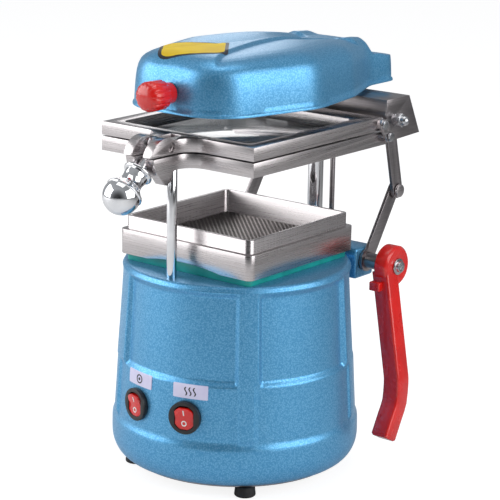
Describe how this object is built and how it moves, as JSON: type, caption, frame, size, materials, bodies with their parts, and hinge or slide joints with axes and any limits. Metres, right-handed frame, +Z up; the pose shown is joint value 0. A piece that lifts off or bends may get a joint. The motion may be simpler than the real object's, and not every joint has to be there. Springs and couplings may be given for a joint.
{
  "type": "dental vacuum former",
  "caption": "Bench vacuum former: round housing with vacuum motor, perforated table, lever-lifted sheet frame with clamp, and a swing-away heater hood.",
  "frame": {"origin": "on the bench under the axis of the round housing", "axes": "+Z up along the housing's axis, -Y towards the user and the clamp knob, +X towards the handle"},
  "size_m": [0.2027, 0.2879, 0.319],
  "materials": {
    "hammer_blue": "hammertone enamel",
    "steel_plate": "brushed",
    "steel_dark": "brushed, dark",
    "chrome": "polished",
    "fastener": "zinc plated",
    "red_plastic": "gloss",
    "black_plastic": "satin",
    "rubber_black": "matte",
    "gasket_teal": "satin",
    "sheet_plastic": "clear, gloss",
    "mesh_steel": "perforated",
    "bronze": "turned",
    "motor_alu": "cast",
    "motor_copper": "wound",
    "ceramic": "glazed",
    "heater_sheath": "oxidised",
    "reflector_alu": "bright"
  },
  "bodies": {
    "base": {"housing": "hammer_blue", "base_plate": "steel_dark", "feet": "rubber_black", "foot_screws": "fastener", "motor_bracket": "motor_alu", "motor_bracket_screws": "fastener", "motor_stator": "motor_copper", "fan_can": "motor_alu", "motor_gasket": "rubber_black", "heat_switch_body": "black_plastic", "motor_switch_body": "black_plastic", "power_inlet": "black_plastic", "fuse_holder": "black_plastic", "table_gasket": "gasket_teal", "forming_table": "steel_plate", "table_screws": "fastener", "perforated_plate": "mesh_steel", "front_rod": "chrome", "front_rod_nut": "fastener", "rear_post": "chrome", "post_collar": "chrome", "rear_rod": "steel_dark", "shaft_bushes": "bronze"},
    "fan": {"fan_rotor": "motor_alu"},
    "heat_rocker": {"heat_rocker": "red_plastic"},
    "motor_rocker": {"motor_rocker": "red_plastic"},
    "lever": {"lift_shaft": "steel_dark", "handle": "red_plastic", "handle_screw": "fastener", "crank_right": "steel_dark", "crank_left": "steel_dark", "crank_pins": "steel_plate"},
    "link_right": {"link_right": "steel_dark"},
    "link_left": {"link_left": "steel_dark"},
    "carriage": {"lift_bracket": "steel_dark", "slide_block": "steel_dark", "post_bush": "bronze", "bracket_screws": "fastener", "bracket_bolts": "fastener", "lower_frame": "steel_plate", "forming_sheet": "sheet_plastic", "hinge_pivots": "fastener"},
    "upper_frame": {"upper_frame": "steel_plate", "hinge_straps": "steel_plate", "strap_screws": "fastener", "clamp_pin": "steel_dark"},
    "clamp": {"clamp_stud": "chrome"},
    "clamp_knob": {"clamp_knob": "chrome"},
    "hood": {"hood_shell": "hammer_blue", "hood_socket": "steel_dark", "reflector": "reflector_alu", "reflector_standoffs": "fastener", "heating_element": "heater_sheath", "insulators": "ceramic", "hood_knob": "red_plastic", "hood_knob_stud": "fastener"}
  },
  "joints": [
    {"name": "handle_turn", "type": "hinge", "parent": "base", "child": "lever", "pos_m": [0, 0.0775, 0.154], "axis": [1, 0, 0], "range_deg": [-52, 0]},
    {"name": "carriage_lift", "type": "slide", "parent": "base", "child": "carriage", "axis": [0, 0, 1], "range_m": [-0.05863, 0]},
    {"name": "link_right_turn", "type": "hinge", "parent": "lever", "child": "link_right", "pos_m": [0.067, 0.10952, 0.20331], "axis": [1, 0, 0], "range_deg": [0, 81.63]},
    {"name": "link_left_turn", "type": "hinge", "parent": "lever", "child": "link_left", "pos_m": [-0.067, 0.10952, 0.20331], "axis": [1, 0, 0], "range_deg": [0, 81.63]},
    {"name": "clamp_swing", "type": "hinge", "parent": "upper_frame", "child": "clamp", "pos_m": [0, -0.0905, 0.25953], "axis": [-1, 0, 0], "range_deg": [0, 40]},
    {"name": "upper_frame_hinge", "type": "hinge", "parent": "carriage", "child": "upper_frame", "pos_m": [0, 0.0865, 0.24933], "axis": [-1, 0, 0], "range_deg": [0, 4.02]},
    {"name": "knob_turn", "type": "hinge", "parent": "clamp", "child": "clamp_knob", "pos_m": [0, -0.0905, 0.25953], "axis": [0, -0.7826, -0.6225], "continuous": true},
    {"name": "hood_swing", "type": "hinge", "parent": "base", "child": "hood", "pos_m": [0, 0.096, 0.28663], "axis": [0, 0, -1], "range_deg": [0, 120]},
    {"name": "fan_spin", "type": "hinge", "parent": "base", "child": "fan", "pos_m": [0, 0, 0.1], "axis": [0, 0, 1], "continuous": true},
    {"name": "heat_switch_tilt", "type": "hinge", "parent": "base", "child": "heat_rocker", "pos_m": [0.0243, -0.08702, 0.0625], "axis": [0.9632, 0.2689, 0], "range_deg": [-16, 0]},
    {"name": "motor_switch_tilt", "type": "hinge", "parent": "base", "child": "motor_rocker", "pos_m": [-0.02109, -0.08785, 0.0625], "axis": [0.9724, -0.2334, 0], "range_deg": [-16, 0]}
  ],
  "couplings": [
    {"joint": "carriage_lift", "follows": "handle_turn", "m_per_rad": 0.064489},
    {"joint": "link_right_turn", "follows": "handle_turn", "ratio": -1.566},
    {"joint": "link_left_turn", "follows": "handle_turn", "ratio": -1.566},
    {"joint": "upper_frame_hinge", "follows": "clamp_swing", "ratio": 0.1}
  ]
}
